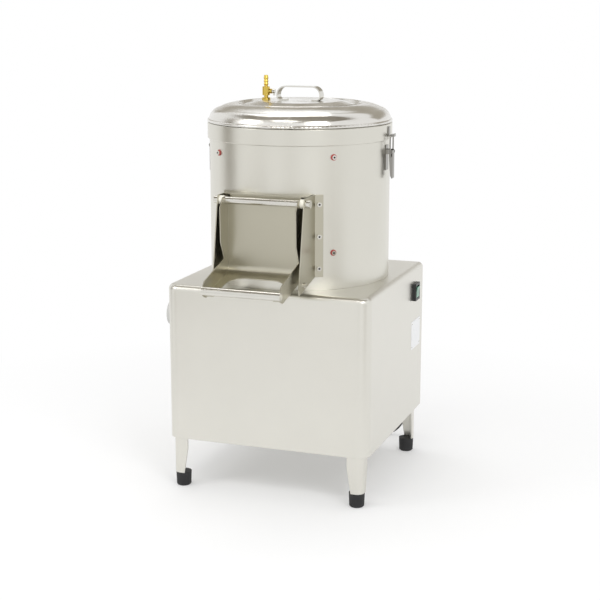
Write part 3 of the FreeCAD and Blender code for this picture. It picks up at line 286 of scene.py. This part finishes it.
def set_camera():
    right = Vector((math.cos(AZIMUTH), math.sin(AZIMUTH), 0))
    back = Vector((math.sin(AZIMUTH) * math.cos(ELEVATION), -math.cos(AZIMUTH) * math.cos(ELEVATION),
                   math.sin(ELEVATION)))
    up = back.cross(right)
    data = bpy.data.cameras.new("view_camera")
    data.lens = LENS_MM
    data.sensor_width = SENSOR_MM
    data.clip_end = CLIP_END
    camera = bpy.data.objects.new("view_camera", data)
    scene.collection.objects.link(camera)
    turn = Matrix((right, up, back)).transposed().to_4x4()
    camera.matrix_world = Matrix.Translation(CAMERA_PLACE) @ turn
    scene.camera = camera


def cord_points():
    """The cord's control points: the route, a coil that winds in and then out one layer up, and a tail."""
    coil_x, coil_y = COIL_CENTRE
    points = [Vector(place) / 1000 for place in ROUTE]
    for i in range(int((2 * COIL_TURNS + CROSSING_TURNS) * COIL_STEPS) + 1):
        turns = i / COIL_STEPS
        if turns <= COIL_TURNS:
            radius = COIL_OUTER - COIL_PITCH * turns
            lift = 0.0
        elif turns <= COIL_TURNS + CROSSING_TURNS:
            radius = COIL_INNER
            lift = (1 - math.cos(math.pi * (turns - COIL_TURNS) / CROSSING_TURNS)) / 2
        else:
            radius = COIL_INNER + COIL_PITCH * (turns - COIL_TURNS - CROSSING_TURNS)
            lift = 1.0
        angle = -math.pi / 2 - 2 * math.pi * turns
        points.append(Vector((coil_x + radius * math.cos(angle), coil_y + radius * math.sin(angle),
                              LOW_LAYER + LAYER_RISE * lift)) / 1000)
    for reach in TAIL_REACHES:
        points.append(Vector((coil_x + reach, coil_y + COIL_OUTER, TAIL_HEIGHT)) / 1000)
    return points


def mains_cord():
    points = cord_points()
    line = bpy.data.curves.new("mains_cord", "CURVE")
    line.dimensions = "3D"
    line.bevel_depth = CORD_RADIUS
    line.bevel_resolution = 5
    line.use_fill_caps = True
    spline = line.splines.new("NURBS")
    spline.points.add(len(points) - 1)
    for point, place in zip(spline.points, points):
        point.co = (*place, 1)
    spline.order_u = 3
    spline.use_endpoint_u = True
    spline.resolution_u = 8
    cord = bpy.data.objects.new("mains_cord", line)
    scene.collection.objects.link(cord)
    line.materials.append(slots["cord_black"])
    return cord


def piece(name, mesh_maker, slot, smooth=True):
    """A small visual piece on the fixed body, with its slot's material."""
    mesh = bpy.data.meshes.new(name)
    work = bmesh.new()
    mesh_maker(work)
    bmesh.ops.recalc_face_normals(work, faces=work.faces)
    work.to_mesh(mesh)
    work.free()
    thing = bpy.data.objects.new(name, mesh)
    scene.collection.objects.link(thing)
    mesh.materials.append(slots[slot])
    for face in mesh.polygons:
        face.use_smooth = smooth
    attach(thing, "root")


def outermost(node):
    """How far from the drum's axis a node reaches."""
    return max(math.hypot(v.co.x - DRUM_AXIS[0], v.co.y - DRUM_AXIS[1]) for v in nodes[node].data.vertices)


def six_sided(work, radius, depth, centre, way):
    place = Matrix.Translation(centre) @ Vector(way).to_track_quat("Z", "Y").to_matrix().to_4x4()
    bmesh.ops.create_cone(work, cap_ends=True, segments=6, radius1=radius, radius2=radius * SOCKET_TAPER,
                          depth=depth, matrix=place)


def around_drum(work, reach, azimuths, heights, radius):
    for azimuth in azimuths:
        out = Vector((math.sin(math.radians(azimuth)), -math.cos(math.radians(azimuth)), 0))
        for height in heights:
            centre = Vector((*DRUM_AXIS, height)) + out * reach
            six_sided(work, radius, SOCKET_DEPTH, centre, out)


# Black hexagons on the drum and bracket screws: painted shade in their sockets.
def drum_socket_shade(work):
    around_drum(work, outermost("liner_screws"), DRUM_SCREW_AZIMUTHS, DRUM_SCREW_HEIGHTS, DRUM_SOCKET_RADIUS)


def bracket_socket_shade(work):
    around_drum(work, outermost("bracket_screws"), BRACKET_SCREW_AZIMUTHS, BRACKET_SCREW_HEIGHTS,
                BRACKET_SOCKET_RADIUS)


# Black hexagons on the panel screws: painted shade in their sockets.
def panel_socket_shade(work):
    back_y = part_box("panel_screws")[1].y
    for x in PANEL_SCREW_XS:
        for z in PANEL_SCREW_HEIGHTS:
            six_sided(work, PANEL_SOCKET_RADIUS, PANEL_SOCKET_DEPTH, (x, back_y - PANEL_SOCKET_SINK, z),
                      (0, 1, 0))


def plate_rivets(work):
    low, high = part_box("rating_plate")
    for y in (low.y + RIVET_INSET, high.y - RIVET_INSET):
        for z in (low.z + RIVET_INSET, high.z - RIVET_INSET):
            bmesh.ops.create_uvsphere(work, u_segments=16, v_segments=8, radius=RIVET_RADIUS,
                                      matrix=Matrix.Translation((high.x - RIVET_SINK, y, z)))


def flat(name, width, depth, matrix):
    """A flat sheet that belongs to the studio, not to the machine."""
    mesh = bpy.data.meshes.new(name)
    work = bmesh.new()
    bmesh.ops.create_grid(work, x_segments=1, y_segments=1, size=0.5)
    bmesh.ops.scale(work, vec=(width, depth, 1), verts=work.verts)
    work.to_mesh(mesh)
    work.free()
    thing = bpy.data.objects.new(name, mesh)
    scene.collection.objects.link(thing)
    thing.matrix_world = matrix
    return thing


def facing(position, target):
    position = Vector(position)
    turned = (Vector(target) - position).to_track_quat("-Z", "Y").to_matrix().to_4x4()
    return Matrix.Translation(position) @ turned


def studio_floor():
    """A matt white floor near the machine, which turns to an even glow further out."""
    floor = flat("studio_floor", FLOOR_SIZE, FLOOR_SIZE, Matrix.Identity(4))
    ground = Shade("floor_white", (0.97, 0.97, 0.97, 1), 0.0, 0.9)
    tree = ground.tree
    far = tree.nodes.new("ShaderNodeVectorMath")
    far.operation = "LENGTH"
    tree.links.new(ground.where, far.inputs[0])
    blend = ground.span(far.outputs["Value"], GLOW_LEAST, 1, GLOW_START, GLOW_END)
    glow = ground.add("ShaderNodeEmission", Color=(1, 1, 1, 1), Strength=1.0)
    join = tree.nodes.new("ShaderNodeMixShader")
    tree.links.new(blend, join.inputs[0])
    tree.links.new(ground.shader.outputs[0], join.inputs[1])
    tree.links.new(glow.outputs[0], join.inputs[2])
    tree.links.new(join.outputs[0], tree.nodes["Material Output"].inputs["Surface"])
    ground.gloss(ground.noise(6), 0.05)
    floor.data.materials.append(ground.material)


def studio_cards():
    """Cards that only the reflections see: each with its width, depth, place and the point it faces."""
    card = Shade("card_grey", lin(142, 136, 125), 0.0, 0.95)
    card.tint(card.noise(2), 0.9, 1.1)
    pale = Shade("card_pale", lin(176, 170, 158), 0.0, 0.95)
    pale.tint(pale.noise(2), 0.9, 1.1)
    for name, shade, width, depth, position, target in (
            ("card_top", card, 6.0, 4.2, (0.0, -1.2, 3.3), (0.0, -1.2, 0.0)),
            ("card_low_a", pale, 0.9, 1.7, (-1.45, -2.2, 0.003), (-1.45, -2.2, 3.0)),
            ("card_low_b", pale, 0.8, 1.3, (0.45, -3.0, 0.003), (0.45, -3.0, 3.0)),
            ("card_low_c", pale, 1.2, 1.4, (2.3, -1.3, 0.003), (2.3, -1.3, 3.0)),
            ("card_left", card, 0.8, 2.2, (-2.3, -0.5, 1.1), (0, -0.5, 0.9)),
            ("card_back", pale, 7.0, 1.7, (0.0, 3.4, 2.5), (0.0, 0.0, 0.9))):
        sheet = flat(name, width, depth, facing(position, target))
        sheet.data.materials.append(shade.material)
        sheet.visible_camera = False
        sheet.visible_shadow = False
        sheet.visible_diffuse = False


def greater(tree, first, second):
    made = tree.nodes.new("ShaderNodeMath")
    made.operation = "MAXIMUM"
    tree.links.new(first, made.inputs[0])
    tree.links.new(second, made.inputs[1])
    return made.outputs[0]


def studio_world():
    """White all round, at full strength to the camera and in reflections, and weaker as light."""
    world = bpy.data.worlds.new("studio_world")
    scene.world = world
    world.use_nodes = True
    tree = world.node_tree
    lamp = tree.nodes["Background"]
    path = tree.nodes.new("ShaderNodeLightPath")
    seen = greater(tree, path.outputs["Is Camera Ray"], path.outputs["Is Glossy Ray"])
    also = greater(tree, seen, path.outputs["Is Transmission Ray"])
    level = tree.nodes.new("ShaderNodeMapRange")
    tree.links.new(also, level.inputs[0])
    level.inputs[RANGE_TO_LOW].default_value = SKY_STRENGTH
    level.inputs[RANGE_TO_HIGH].default_value = 1.0
    lamp.inputs["Color"].default_value = (1, 1, 1, 1)
    tree.links.new(level.outputs[0], lamp.inputs["Strength"])


def studio_lamps():
    """Soft lamps: each with its power in watts, width, depth, place and the point it faces."""
    for name, energy, width, depth, position, target in (
            ("lamp_key", 24, 1.1, 1.4, (1.9, -1.9, 2.3), (0, 0, 0.6)),
            ("lamp_fill", 14, 1.0, 1.4, (-1.9, -1.7, 2.2), (0, 0, 0.6)),
            ("lamp_front", 8, 1.3, 0.5, (-0.1, -1.9, 2.9), (0, 0, 0.7)),
            ("lamp_top", 10, 1.4, 0.9, (-0.4, 0.7, 2.7), (0, 0, 0.6))):
        light = bpy.data.lights.new(name, "AREA")
        light.shape = "RECTANGLE"
        light.size = width
        light.size_y = depth
        light.energy = energy
        thing = bpy.data.objects.new(name, light)
        scene.collection.objects.link(thing)
        thing.matrix_world = facing(position, target)


set_camera()

cord = mains_cord()
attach(cord, "root")
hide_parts("power_cord", "cord_coil")

# Every carried-over node takes its slot's material, and the latches a darker copy of the bright steel, which
# is painted shade.
for part in frame["record"]["subparts"]:
    shown = nodes[part["node"]]
    shown.data.materials.clear()
    shown.data.materials.append(slots[part["material_slot"]])
for name in LATCH_NODES:
    nodes[name].data.materials[0] = slots["latch_shaded_steel"]

# The black hexagons on the screw heads are painted shade in their sockets.
piece("drum_screw_socket_shade", drum_socket_shade, "switch_black", smooth=False)
piece("bracket_screw_socket_shade", bracket_socket_shade, "switch_black", smooth=False)
piece("panel_screw_socket_shade", panel_socket_shade, "switch_black", smooth=False)
piece("plate_rivets", plate_rivets, "bright_steel")

studio_floor()
studio_cards()
studio_world()
studio_lamps()
